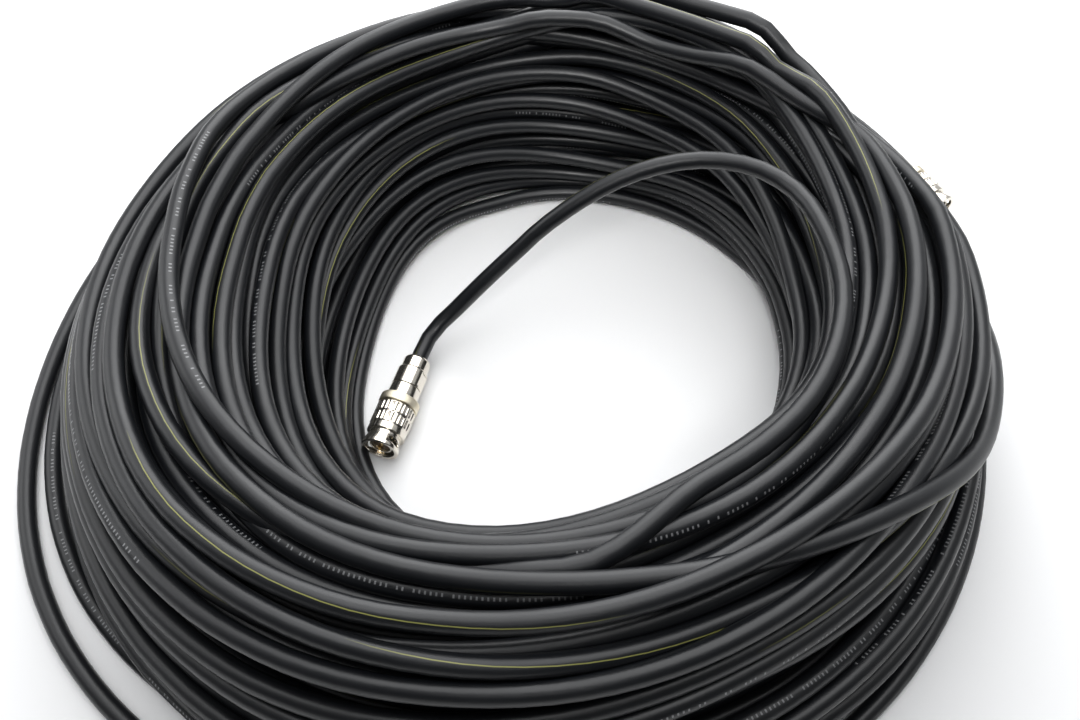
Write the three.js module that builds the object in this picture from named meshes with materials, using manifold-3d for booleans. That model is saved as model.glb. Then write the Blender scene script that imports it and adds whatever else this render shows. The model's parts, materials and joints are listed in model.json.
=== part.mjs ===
// A finished coaxial cable, wound by hand into a loose round heap, with a bayonet plug on each end.
// Millimetres, +Z up. X runs to the right and Y away from the side that the heap is seen from.
// The sizes below are measured from the axis of the coil's bore, on the floor. At the end the whole
// part is moved so that its origin is the middle of its footprint.

import * as THREE from "three";
import { mergeVertices } from "three/addons/utils/BufferGeometryUtils.js";
import Module from "manifold-3d";

const wasm = await Module();
wasm.setup();

// The cable
const cableDiameter = 6.0;
const cableSides = 10;
const clearance = 0.3; // between pieces that touch
const floorGap = 0.2; // under a cable or a plug that lies on the floor

// The coil: a heap of turns round an open bore
const coilHeight = 80; // floor to the top of the heap
const boreRadius = 77; // at the floor
const boreBulge = 26; // the bore is wider than that in front on the left, where the plug lies
const boreBulgeHeading = -125; // degrees from +X
const outerRadius = 175; // of the outermost turns
const outerShiftX = -25; // the heap has slipped to the left of its bore
const outerShiftY = -8;
const wallLean = 18; // how far the bore's wall leans outwards at the top
const wallLeanMore = 12; // added on the left and taken off on the right
const turnGroove = 2.0; // depth of the furrow between two turns
const coilFacets = 44;

// The heap's section from the bore to the outside, as [share of the way out, share of the height]
const heapOutline = [
  [0.0, 0.0],
  [0.0, 0.2],
  [0.005, 0.42],
  [0.02, 0.64],
  [0.06, 0.83],
  [0.14, 0.945],
  [0.25, 0.99],
  [0.36, 1.0],
  [0.48, 0.96],
  [0.6, 0.85],
  [0.71, 0.68],
  [0.79, 0.48],
  [0.845, 0.27],
  [0.875, 0.15],
];
const looseShare = 0.93; // about here the outermost turns lie singly on the floor
const looseRise = 1.35; // height of the heap there, in cable diameters
const footRound = 0.3; // how far the outermost turn rounds in at the floor, in cable diameters

// A plug, measured along its axis from the end that the cable enters
const collarRadius = 5.05;
const collarLength = 5.0;
const collarRound = 0.9; // the rear edge, rounded off
const nutRadius = 5.6;
const nutEnd = 12.4;
const nutShoulder = 0.8; // left round at each end of the wrench flats
const nutFlats = 10.2; // across them
const nutBoreDepth = 4.0;
const bodyRadius = 5.6;
const neckRadius = 4.6; // the body inside the flange ring and the coupling
const flangeRadius = 7.25;
const flangeStart = 17.6;
const flangeEnd = 21.0;
const flangeEdge = 0.3; // taken off its two corners
const gripRadius = 7.0;
const gripBandSplit = 25.6;
const gripEnd = 29.9;
const bandGroove = 0.35;
const ringRadius = 6.85; // the smooth ring in front of the grip
const ringEnd = 32.5;
const waistRadius = 5.75;
const waistEnd = 33.4;
const headRadius = 6.7;
const headEnd = 38.0;
const headRim = 1.1; // length of the straight rim at the mouth
const mouthRadius = 5.3;
const mouthDepth = 7.6;
const contactOuter = 4.1; // the body's contact sleeve inside the mouth
const contactInner = 3.4;
const contactEnd = 36.9;
const socketDepth = 5.4;
const insulatorLength = 2.4;
const insulatorHole = 1.0;
const pinRadius = 0.7;
const pinTipRadius = 0.3;
const pinTipLength = 1.0;
const pinEnd = 36.2;
const slotWidth = 2.2; // the bayonet slots
const slotEntry = 1.8;
const slotTurn = 50; // degrees that the slot runs round the head
const slotSteps = 5;
const roundFacets = 28;

// Where each plug lies: how far round the coil it is in degrees from +X, how far its mouth stays from
// the bore's wall or beyond the outermost turn, and the way it points in degrees from +X
const plugARound = -144.8;
const plugAFromWall = 8.3;
const plugAHeading = -106.6;
const plugBRound = 22.0;
const plugBBeyond = 12.1;
const plugBHeading = -58.5;

// The stretches of cable that are not in the coil, from the plug onwards. The inner one crosses the
// bore as [degrees round, share of the bore's radius, share of the coil's height].
const boreRoute = [
  [-177.8, 0.701, 0.1325],
  [178.7, 0.647, 0.1725],
  [175.1, 0.592, 0.225],
  [169.3, 0.513, 0.3075],
  [161.0, 0.43, 0.3975],
  [150.8, 0.357, 0.485],
  [137.5, 0.3, 0.5725],
  [104.5, 0.259, 0.6825],
  [72.6, 0.305, 0.7675],
  [49.2, 0.417, 0.8375],
  [32.8, 0.571, 0.8875],
  [18.8, 0.727, 0.9175],
  [4.8, 0.854, 0.9325],
  [-11.1, 0.947, 0.945],
];
// It then joins the coil's rim as [degrees round, share of the way out, share of the coil's height].
const rimRoute = [
  [-27.1, 0.055, 0.955],
  [-41.1, 0.136, 0.96],
  [-53.6, 0.196, 0.96],
  [-65.6, 0.226, 0.96],
  [-76.1, 0.239, 0.96],
];
// The outer one runs behind the coil as [degrees round, beyond the outermost turn, height].
const footRoute = [
  [36.2, 9.9, 6.6],
  [39.7, 10.2, 4.6],
  [44.1, 9.6, 3.4],
  [49.5, 8.1, 3.2],
  [55.3, 6.1, 3.2],
  [61.7, 4.2, 3.2],
  [68.5, 2.5, 3.2],
  [75.2, 0.7, 3.2],
];
const routeStep = 2.0; // length of a step along a route, in cable diameters

const jacket = new THREE.MeshStandardMaterial({ color: 0x1d1f21, roughness: 0.55, metalness: 0 });
const nickel = new THREE.MeshStandardMaterial({ color: 0xc9c4ba, roughness: 0.22, metalness: 1 });
const dielectric = new THREE.MeshStandardMaterial({ color: 0x5a4030, roughness: 0.5, metalness: 0 });
const gold = new THREE.MeshStandardMaterial({ color: 0xd4a848, roughness: 0.25, metalness: 1 });

const radians = THREE.MathUtils.degToRad;

function solidFrom(geometry) {
  const bare = geometry.clone();
  bare.deleteAttribute("normal");
  bare.deleteAttribute("uv");
  const merged = mergeVertices(bare, 1e-4);
  return new wasm.Manifold(
    new wasm.Mesh({
      numProp: 3,
      vertProperties: new Float32Array(merged.attributes.position.array),
      triVerts: new Uint32Array(merged.index.array),
    }),
  );
}

function geometryFrom(solid) {
  const mesh = solid.getMesh();
  const geometry = new THREE.BufferGeometry();
  geometry.setAttribute("position", new THREE.BufferAttribute(mesh.vertProperties, 3));
  geometry.setIndex(new THREE.BufferAttribute(mesh.triVerts, 1));
  return geometry;
}

function named(name, geometry, material) {
  const mesh = new THREE.Mesh(geometry, material);
  mesh.name = name;
  return mesh;
}

// A turned piece about +Y from the [radius, place along the axis] corners of its section, which run
// anticlockwise as seen with the axis upwards and the radius to the right.
function turned(corners) {
  const profile = corners.map(([radius, along]) => new THREE.Vector2(radius, along));
  const onAxis = corners[0][0] === 0 && corners[corners.length - 1][0] === 0;
  if (!onAxis) profile.push(profile[0].clone());
  return new THREE.LatheGeometry(profile, roundFacets);
}

// The coil

function boreAt(angle) {
  const away = Math.max(0, Math.cos(angle - radians(boreBulgeHeading)));
  return boreRadius + boreBulge * away ** 4;
}

// Distance from the bore's axis to the outermost turn, which is a circle about a shifted centre.
function outsideAt(angle) {
  const along = outerShiftX * Math.cos(angle) + outerShiftY * Math.sin(angle);
  const shift = outerShiftX ** 2 + outerShiftY ** 2;
  return along + Math.sqrt(outerRadius ** 2 - shift + along ** 2);
}

function leanAt(angle) {
  return wallLean - wallLeanMore * Math.cos(angle);
}

// The section in flat coordinates, with a crest and a furrow for each turn that shows.
function coilSection() {
  const span = outerRadius - boreRadius;
  const knots = heapOutline.map(([out, up]) => new THREE.Vector2(out * span, up * coilHeight));
  knots.push(new THREE.Vector2(looseShare * span, cableDiameter * looseRise));
  knots.push(new THREE.Vector2(span, cableDiameter));
  const skin = new THREE.SplineCurve(knots);
  const turns = Math.round(skin.getLength() / cableDiameter);
  const points = [new THREE.Vector2(0, 0)];
  for (let i = 1; i < 2 * turns; i++) {
    const point = skin.getPointAt(i / (2 * turns));
    const tangent = skin.getTangentAt(i / (2 * turns));
    const inwards = new THREE.Vector2(tangent.y, -tangent.x);
    if (i % 2 === 0) point.addScaledVector(inwards, turnGroove);
    points.push(point);
  }
  points.push(new THREE.Vector2(span, cableDiameter / 2));
  points.push(new THREE.Vector2(span - cableDiameter * footRound, 0));
  points.push(new THREE.Vector2(0, 0));
  return points.reverse();
}

function coilGeometry() {
  const span = outerRadius - boreRadius;
  const profile = coilSection().map((p) => new THREE.Vector2(p.x + boreRadius, p.y));
  const geometry = new THREE.LatheGeometry(profile, coilFacets);
  geometry.rotateX(Math.PI / 2);
  const place = geometry.attributes.position;
  for (let i = 0; i < place.count; i++) {
    const angle = Math.atan2(place.getY(i), place.getX(i));
    const out = (Math.hypot(place.getX(i), place.getY(i)) - boreRadius) / span;
    const height = place.getZ(i);
    const bore = boreAt(angle);
    const lean = leanAt(angle) * (height / coilHeight) * (1 - out);
    const radius = bore + out * (outsideAt(angle) - bore) + lean;
    place.setXYZ(i, radius * Math.cos(angle), radius * Math.sin(angle), height);
  }
  return geometry;
}

// The cable outside the coil

function roundCable(radius, route) {
  const section = new THREE.Shape();
  for (let i = 0; i < cableSides; i++) {
    const turn = (2 * Math.PI * i) / cableSides;
    section.lineTo(radius * Math.cos(turn), radius * Math.sin(turn));
  }
  const steps = Math.round(route.getLength() / (routeStep * cableDiameter));
  return new THREE.ExtrudeGeometry(section, { steps, bevelEnabled: false, extrudePath: route });
}

// The room that a lead takes up in the coil that it comes out of, with the clearance round it.
function cableSeat(route) {
  const radius = cableDiameter / 2 + clearance;
  const end = new THREE.CylinderGeometry(radius, radius, 2 * clearance, cableSides);
  const upright = new THREE.Vector3(0, 1, 0);
  end.applyQuaternion(new THREE.Quaternion().setFromUnitVectors(upright, route.getTangentAt(1)));
  end.translate(...route.getPointAt(1).toArray());
  return solidFrom(roundCable(radius, route)).add(solidFrom(end));
}

// A place at a distance from the bore's axis.
function inBore(round, distance, height) {
  const angle = radians(round);
  return new THREE.Vector3(distance * Math.cos(angle), distance * Math.sin(angle), height);
}

// A place at a distance beyond the outermost turn, which is a circle about a shifted centre.
function beyondCoil(round, beyond, height) {
  const centre = new THREE.Vector3(outerShiftX, outerShiftY, 0);
  return inBore(round, outerRadius + beyond, height).add(centre);
}

function borePoint([round, share, up]) {
  return inBore(round, share * boreAt(radians(round)), up * coilHeight);
}

function rimPoint([round, out, up]) {
  const bore = boreAt(radians(round));
  return inBore(round, bore + out * (outsideAt(radians(round)) - bore), up * coilHeight);
}

// The plug lies on its flange ring and on the rim of its head.
const restTilt = Math.atan2(flangeRadius - headRadius, headEnd - flangeEnd);

function plugPose(mouth, heading) {
  const level = new THREE.Vector3(Math.cos(radians(heading)), Math.sin(radians(heading)), 0);
  const axis = level.clone().multiplyScalar(Math.cos(restTilt));
  axis.z = -Math.sin(restTilt);
  mouth.z = headRadius * Math.cos(restTilt) + floorGap;
  const rear = mouth.clone().addScaledVector(axis, -headEnd);
  return { axis, rear };
}

// The cable's route from inside the clamp nut, straight out of it, and on along its points.
function routeFrom(pose, points) {
  const start = pose.rear.clone().addScaledVector(pose.axis, nutBoreDepth - clearance);
  const lip = pose.rear.clone();
  const straight = pose.rear.clone().addScaledVector(pose.axis, -cableDiameter * routeStep * 0.7);
  return new THREE.CatmullRomCurve3([start, lip, straight, ...points], false, "centripetal");
}

// The plug's pieces

function clampNutGeometry() {
  const bore = cableDiameter / 2 + clearance;
  const blank = turned([
    [0, nutBoreDepth],
    [bore, nutBoreDepth],
    [bore, 0],
    [collarRadius - collarRound, 0],
    [collarRadius - collarRound * 0.29, collarRound * 0.29],
    [collarRadius, collarRound],
    [collarRadius, collarLength],
    [nutRadius, collarLength + nutShoulder],
    [nutRadius, nutEnd],
    [0, nutEnd],
  ]);
  let solid = solidFrom(blank);
  const flatLength = nutEnd - collarLength - 2 * nutShoulder;
  for (const turn of [0, Math.PI]) {
    const block = new THREE.BoxGeometry(nutRadius, flatLength, 2 * nutRadius);
    block.translate(nutFlats / 2 + nutRadius / 2, (nutEnd + collarLength) / 2, 0);
    block.rotateY(turn);
    solid = solid.subtract(solidFrom(block));
  }
  return geometryFrom(solid);
}

function bodyGeometry() {
  const start = nutEnd + clearance;
  return turned([
    [0, start],
    [bodyRadius, start],
    [bodyRadius, flangeStart - clearance],
    [neckRadius, flangeStart - clearance],
    [neckRadius, headEnd - mouthDepth],
    [contactOuter, headEnd - mouthDepth],
    [contactOuter, contactEnd],
    [contactInner, contactEnd],
    [contactInner, contactEnd - socketDepth],
    [0, contactEnd - socketDepth],
  ]);
}

function flangeRingGeometry() {
  const bore = neckRadius + clearance;
  return turned([
    [bore, flangeStart],
    [flangeRadius - flangeEdge, flangeStart],
    [flangeRadius, flangeStart + flangeEdge],
    [flangeRadius, flangeEnd - flangeEdge],
    [flangeRadius - flangeEdge, flangeEnd],
    [bore, flangeEnd],
  ]);
}

function insulatorGeometry() {
  const start = contactEnd - socketDepth + clearance;
  const outside = contactInner - clearance;
  return turned([
    [insulatorHole, start],
    [outside, start],
    [outside, start + insulatorLength],
    [insulatorHole, start + insulatorLength],
  ]);
}

function pinGeometry() {
  const start = contactEnd - socketDepth + clearance;
  return turned([
    [0, start],
    [pinRadius, start],
    [pinRadius, pinEnd - pinTipLength],
    [pinTipRadius, pinEnd],
    [0, pinEnd],
  ]);
}

// One step of a bayonet slot: a block through the head's wall.
function slotBlock(along, turn) {
  const block = new THREE.BoxGeometry(headRadius, slotWidth, slotWidth);
  block.translate(headRadius, along, 0);
  block.rotateY(turn);
  return solidFrom(block);
}

function couplingGeometry() {
  const start = flangeEnd + clearance;
  const bore = neckRadius + clearance;
  const split = gripBandSplit;
  const blank = turned([
    [bore, start],
    [gripRadius, start],
    [gripRadius, split - bandGroove],
    [gripRadius - bandGroove, split],
    [gripRadius, split + bandGroove],
    [gripRadius, gripEnd],
    [ringRadius, gripEnd],
    [ringRadius, ringEnd],
    [waistRadius, ringEnd],
    [waistRadius, waistEnd],
    [headRadius, headEnd - headRim],
    [headRadius, headEnd],
    [mouthRadius, headEnd],
    [mouthRadius, headEnd - mouthDepth + clearance],
    [bore, headEnd - mouthDepth + clearance],
  ]);
  let solid = solidFrom(blank);
  const deepest = waistEnd + slotWidth * 0.5;
  const shallowest = headEnd - slotEntry;
  for (const side of [0, Math.PI]) {
    for (let i = 0; i <= slotSteps; i++) {
      const share = i / slotSteps;
      const along = THREE.MathUtils.lerp(shallowest, deepest, share);
      solid = solid.subtract(slotBlock(along, side + radians(slotTurn) * share));
    }
    solid = solid.subtract(slotBlock(headEnd, side));
  }
  return geometryFrom(solid);
}

function plugGroup(prefix, pose) {
  const group = new THREE.Group();
  group.add(named(prefix + "_clamp_nut", clampNutGeometry(), nickel));
  group.add(named(prefix + "_body", bodyGeometry(), nickel));
  group.add(named(prefix + "_flange_ring", flangeRingGeometry(), nickel));
  group.add(named(prefix + "_coupling", couplingGeometry(), nickel));
  group.add(named(prefix + "_insulator", insulatorGeometry(), dielectric));
  group.add(named(prefix + "_centre_pin", pinGeometry(), gold));
  group.quaternion.setFromUnitVectors(new THREE.Vector3(0, 1, 0), pose.axis);
  group.position.copy(pose.rear);
  return group;
}

// The whole cable

const plugAMouth = inBore(plugARound, boreAt(radians(plugARound)) - plugAFromWall, 0);
const plugA = plugPose(plugAMouth, plugAHeading);
const plugB = plugPose(beyondCoil(plugBRound, plugBBeyond, 0), plugBHeading);
const innerPath = routeFrom(plugA, [...boreRoute.map(borePoint), ...rimRoute.map(rimPoint)]);
const outerPath = routeFrom(plugB, footRoute.map((place) => beyondCoil(...place)));

const wholeCoil = solidFrom(coilGeometry());
const coil = wholeCoil.subtract(cableSeat(innerPath)).subtract(cableSeat(outerPath));

const cable = new THREE.Group();
cable.add(named("cable_coil", geometryFrom(coil), jacket));
cable.add(named("cable_lead_inner", roundCable(cableDiameter / 2, innerPath), jacket));
cable.add(named("cable_lead_outer", roundCable(cableDiameter / 2, outerPath), jacket));
cable.add(plugGroup("plug_a", plugA));
cable.add(plugGroup("plug_b", plugB));

cable.updateMatrixWorld(true);
const box = new THREE.Box3().setFromObject(cable, true);
const middle = box.getCenter(new THREE.Vector3());
cable.position.set(-middle.x, -middle.y, -box.min.z);

const part = new THREE.Group();
part.add(cable);

export default part;
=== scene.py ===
"""A coaxial cable wound by hand into a loose round heap, with a bayonet plug on each end.

Lengths are metres unless a name or comment says millimetres. The cable's turns are worked out in
millimetres from the axis of the coil's bore, as the CAD is, and moved to where the frame has them.
"""

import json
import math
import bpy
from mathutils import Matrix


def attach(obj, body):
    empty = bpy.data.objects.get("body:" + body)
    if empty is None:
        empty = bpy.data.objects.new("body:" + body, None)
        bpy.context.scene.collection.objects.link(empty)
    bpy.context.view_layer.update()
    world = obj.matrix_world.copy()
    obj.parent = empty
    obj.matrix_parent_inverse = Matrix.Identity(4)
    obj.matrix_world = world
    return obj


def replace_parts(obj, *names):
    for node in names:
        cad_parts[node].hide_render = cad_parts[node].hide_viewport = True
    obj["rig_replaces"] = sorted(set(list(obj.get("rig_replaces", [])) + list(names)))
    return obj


bl_info = {
    "name": "Coaxial cable coil",
    "version": (1, 0, 0),
    "blender": (4, 5, 0),
    "location": "View3D > Sidebar > Cable coil",
    "description": "Dresses the packed cable coil with its turns, its plugs and a small studio",
    "category": "Object",
}

import bpy
import numpy as np
from bpy.props import FloatProperty, FloatVectorProperty, IntProperty, PointerProperty
from mathutils import Matrix, Vector

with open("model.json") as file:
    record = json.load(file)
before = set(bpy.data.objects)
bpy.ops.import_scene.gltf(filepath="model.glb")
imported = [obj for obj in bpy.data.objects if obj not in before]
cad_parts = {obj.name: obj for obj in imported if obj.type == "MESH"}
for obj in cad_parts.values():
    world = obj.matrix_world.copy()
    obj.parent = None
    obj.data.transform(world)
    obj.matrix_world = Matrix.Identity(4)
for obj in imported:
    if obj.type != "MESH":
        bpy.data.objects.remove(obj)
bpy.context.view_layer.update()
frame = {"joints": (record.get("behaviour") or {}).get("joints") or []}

MM = 0.001

# The coil's sizes in millimetres, as the CAD has them
CABLE_DIAMETER = 6.0
CLEARANCE = 0.3
COIL_HEIGHT = 80.0
BORE_RADIUS = 77.0
BORE_BULGE = 26.0
BORE_BULGE_HEADING = -125.0
OUTER_RADIUS = 175.0
OUTER_SHIFT = (-25.0, -8.0)
WALL_LEAN = 18.0
WALL_LEAN_MORE = 12.0
LOOSE_SHARE = 0.93
LOOSE_RISE = 1.35

# The heap's section from the bore to the outside, as (share of the way out, share of the height)
HEAP_OUTLINE = [
    (0.0, 0.0),
    (0.0, 0.2),
    (0.005, 0.42),
    (0.02, 0.64),
    (0.06, 0.83),
    (0.14, 0.945),
    (0.25, 0.99),
    (0.36, 1.0),
    (0.48, 0.96),
    (0.6, 0.85),
    (0.71, 0.68),
    (0.79, 0.48),
    (0.845, 0.27),
    (0.875, 0.15),
]

# A plug's sizes in millimetres along its axis from the end that the cable enters, as the CAD has
# them, apart from the pin's tip, which is cut shorter
NUT_BORE_DEPTH = 4.0
NUT_END = 12.4
COLLAR_LENGTH = 5.0
COLLAR_RADIUS = 5.05
NUT_RADIUS = 5.6
NUT_FLATS = 10.2
NUT_SHOULDER = 0.8
BODY_RADIUS = 5.6
NECK_RADIUS = 4.6
FLANGE_RADIUS = 7.25
FLANGE_START = 17.6
FLANGE_END = 21.0
GRIP_RADIUS = 7.0
GRIP_SPLIT = 25.6
GRIP_END = 29.9
RING_RADIUS = 6.85
RING_END = 32.5
WAIST_RADIUS = 5.75
WAIST_END = 33.4
HEAD_RADIUS = 6.7
HEAD_END = 38.0
HEAD_RIM = 1.1
MOUTH_RADIUS = 5.3
MOUTH_DEPTH = 7.6
CONTACT_OUTER = 4.1
CONTACT_INNER = 3.4
CONTACT_END = 36.9
SOCKET_DEPTH = 5.4
INSULATOR_LENGTH = 2.4
INSULATOR_HOLE = 1.0
PIN_RADIUS = 0.7
PIN_TIP_RADIUS = 0.32
PIN_TIP_LENGTH = 0.7
PIN_END = 36.2
SLOT_WIDTH = 2.2
SLOT_ENTRY = 1.8
SLOT_TURN = 50.0

# Where the plugs lie and how the free stretches of cable run, as the CAD has them
PLUG_A_ROUND = -144.8
PLUG_A_FROM_WALL = 8.3
ROUTE_STEP = 2.0
BORE_ROUTE = [
    (-177.8, 0.701, 0.1325),
    (178.7, 0.647, 0.1725),
    (175.1, 0.592, 0.225),
    (169.3, 0.513, 0.3075),
    (161.0, 0.43, 0.3975),
    (150.8, 0.357, 0.485),
    (137.5, 0.3, 0.5725),
    (104.5, 0.259, 0.6825),
    (72.6, 0.305, 0.7675),
    (49.2, 0.417, 0.8375),
    (32.8, 0.571, 0.8875),
    (18.8, 0.727, 0.9175),
    (4.8, 0.854, 0.9325),
    (-11.1, 0.947, 0.945),
]
RIM_ROUTE = [
    (-27.1, 0.055, 0.955),
    (-41.1, 0.136, 0.96),
    (-53.6, 0.196, 0.96),
    (-65.6, 0.226, 0.96),
    (-76.1, 0.239, 0.96),
]
FOOT_ROUTE = [
    (36.2, 9.9, 6.6),
    (39.7, 10.2, 4.6),
    (44.1, 9.6, 3.4),
    (49.5, 8.1, 3.2),
    (55.3, 6.1, 3.2),
    (61.7, 4.2, 3.2),
    (68.5, 2.5, 3.2),
    (75.2, 0.7, 3.2),
]

COIL_NODES = ("cable_coil", "cable_lead_inner", "cable_lead_outer")


def joint(name):
    return next(j for j in frame["joints"] if j["name"] == name)


# Settings


class CableSettings(bpy.types.PropertyGroup):
    """The cable and its heap."""

    length: FloatProperty(
        name="Length", description="Whole length of the cable", default=60.0, unit="LENGTH"
    )
    turn_seed: IntProperty(
        name="Lay", description="Picks another way for the turns to fall", default=5
    )
    jacket: FloatVectorProperty(
        name="Jacket", description="Colour of the jacket", default=(0.0042, 0.0048, 0.0060),
        subtype="COLOR", min=0.0, max=1.0,
    )
    tracer: FloatVectorProperty(
        name="Tracer", description="Colour of the thin line along the jacket",
        default=(0.30, 0.30, 0.08), subtype="COLOR", min=0.0, max=1.0,
    )
    marks: FloatVectorProperty(
        name="Length marks", description="Colour of the printed ticks",
        default=(0.24, 0.243, 0.25), subtype="COLOR", min=0.0, max=1.0,
    )


class PlugSettings(bpy.types.PropertyGroup):
    """The two bayonet plugs."""

    plate: FloatVectorProperty(
        name="Plate", description="Colour of the nickel plate", default=(0.80, 0.765, 0.70),
        subtype="COLOR", min=0.0, max=1.0,
    )
    flange: FloatVectorProperty(
        name="Flange ring", description="Colour of the knurled flange ring",
        default=(0.80, 0.74, 0.60), subtype="COLOR", min=0.0, max=1.0,
    )
    pin: FloatVectorProperty(
        name="Pin", description="Colour of the centre pin", default=(0.83, 0.58, 0.24),
        subtype="COLOR", min=0.0, max=1.0,
    )
    insulator: FloatVectorProperty(
        name="Insulator", description="Colour of the insulator", default=(0.10, 0.05, 0.028),
        subtype="COLOR", min=0.0, max=1.0,
    )
    flutes: IntProperty(name="Flutes", description="Flutes round the grip", default=24)
    knurls: IntProperty(name="Knurls", description="Knurls round the flange ring", default=64)


class StudioSettings(bpy.types.PropertyGroup):
    """The camera, the lights and the table."""

    camera_place: FloatVectorProperty(
        name="Camera", description="Where the camera stands", default=(0.0056, -0.2101, 0.299),
        subtype="XYZ", unit="LENGTH",
    )
    camera_down: FloatProperty(
        name="Tilt", description="How far down the camera looks", default=math.radians(55.0),
        subtype="ANGLE", unit="ROTATION",
    )
    focal_length: FloatProperty(
        name="Focal length", description="Focal length in millimetres", default=32.26
    )
    table: FloatVectorProperty(
        name="Table", description="Colour of the table", default=(0.88, 0.88, 0.88),
        subtype="COLOR", min=0.0, max=1.0,
    )
    overhead: FloatProperty(
        name="Overhead light", description="Power of the soft overhead light", default=9.5,
        unit="POWER",
    )
    back_fill: FloatProperty(
        name="Back fill", description="Power of the spot on the back of the coil", default=11.0,
        unit="POWER",
    )


# The heap's shape


def bore_at(angle):
    away = np.maximum(0.0, np.cos(angle - math.radians(BORE_BULGE_HEADING)))
    return BORE_RADIUS + BORE_BULGE * away**4


def outside_at(angle):
    along = OUTER_SHIFT[0] * np.cos(angle) + OUTER_SHIFT[1] * np.sin(angle)
    shift = OUTER_SHIFT[0] ** 2 + OUTER_SHIFT[1] ** 2
    return along + np.sqrt(OUTER_RADIUS**2 - shift + along**2)


def lean_at(angle):
    return WALL_LEAN - WALL_LEAN_MORE * np.cos(angle)


def in_bore(heading, distance, height):
    angle = math.radians(heading)
    return np.array([distance * math.cos(angle), distance * math.sin(angle), height])


def bore_point(heading, share, up):
    return in_bore(heading, share * bore_at(math.radians(heading)), up * COIL_HEIGHT)


def rim_point(heading, out, up):
    bore = bore_at(math.radians(heading))
    outside = outside_at(math.radians(heading))
    return in_bore(heading, bore + out * (outside - bore), up * COIL_HEIGHT)


def foot_point(heading, beyond, height):
    return in_bore(heading, OUTER_RADIUS + beyond, height) + np.array([*OUTER_SHIFT, 0.0])


def bore_axis():
    """Where the axis of the coil's bore stands in the frame, in millimetres."""
    wall = bore_at(math.radians(PLUG_A_ROUND))
    mouth = in_bore(PLUG_A_ROUND, wall - PLUG_A_FROM_WALL, 0.0)
    there = np.array(joint("coupling_a_turn")["pos_m"]) / MM
    return np.array([there[0] - mouth[0], there[1] - mouth[1], 0.0])


# How the turns lie. The skin is the line that the outermost layer's centres follow, from the foot
# of the bore's wall over the top and out to the floor. A turn's place is a share along it and a depth.

SKIN_ANGLES = 120
SKIN_PLACES = 101

# How far the heap's crest stands in from the CAD's round one, as (degrees round, millimetres)
CREST_IN = [(0, 5.0), (20, 11.0), (40, 18.0), (65, 24.0), (90, 25.0), (120, 25.0), (145, 23.0),
            (165, 14.0), (185, 6.0), (205, 3.0), (230, 1.0), (300, 2.0), (330, 3.0), (360, 4.0)]
# The same for the whole outer slope, which loose turns then widen again
SLOPE_IN = [(0, 6.0), (20, 9.0), (45, 10.0), (75, 9.0), (100, 5.0), (150, 4.0), (172, 9.0),
            (195, 6.0), (225, 4.0), (245, 1.0), (280, 0.0), (300, 2.0), (330, 6.0), (360, 6.0)]
# How far the foot of the bore's wall stands in from the CAD's, as (degrees round, millimetres)
WALL_IN = [(0, 6.0), (20, 6.5), (45, 6.0), (75, 4.0), (100, 1.0), (180, 0.0), (215, 2.0), (250, 4.0),
           (270, -1.0), (310, -4.0), (335, 1.0), (360, 6.0)]
# The turns that lie singly on the table, as (degrees round the shifted centre, radius)
FIRST_LOOP = [(75, 175.7), (100, 175.0), (130, 172.0), (160, 169.5), (178, 170.0), (190, 174.0),
              (204, 181.0), (216, 182.0), (229, 177.0), (245, 171.5), (270, 168.5), (300, 168.5),
              (320, 168.0), (345, 166.0), (375, 163.0), (405, 163.0), (435, 166.0)]
SECOND_LOOP = [(435, 166.0), (480, 165.5), (530, 163.5), (550, 166.5), (566, 172.0), (580, 168.5),
               (594, 156.5), (610, 151.0), (640, 153.0), (670, 158.0), (700, 159.0), (735, 156.0),
               (795, 158.0)]
THIRD_LOOP = [(795, 158.0), (840, 161.0), (900, 163.0), (925, 161.0), (945, 152.0), (965, 147.0)]


def tabled(table, at):
    """A smooth value from a table of (place, value)."""
    places, values = np.array(table, float).T
    fine = np.linspace(places[0], places[-1], 600)
    smooth = blurred(np.interp(fine, places, values), 12.0)
    return np.interp(at, fine, smooth)


def narrowed(angle, out):
    """How much the heap stands in from the CAD's round one, at each share of the way out."""
    degrees = np.degrees(angle) % 360
    crest = np.interp(out, (0.05, 0.48, 0.6, 0.8), (0.0, 1.0, 0.9, 0.0))
    slope = np.clip((out - 0.1) / 0.5, 0, 1) * np.clip((1 - out) / 0.05, 0, 1)
    return tabled(CREST_IN, degrees) * crest + tabled(SLOPE_IN, degrees) * slope


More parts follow.
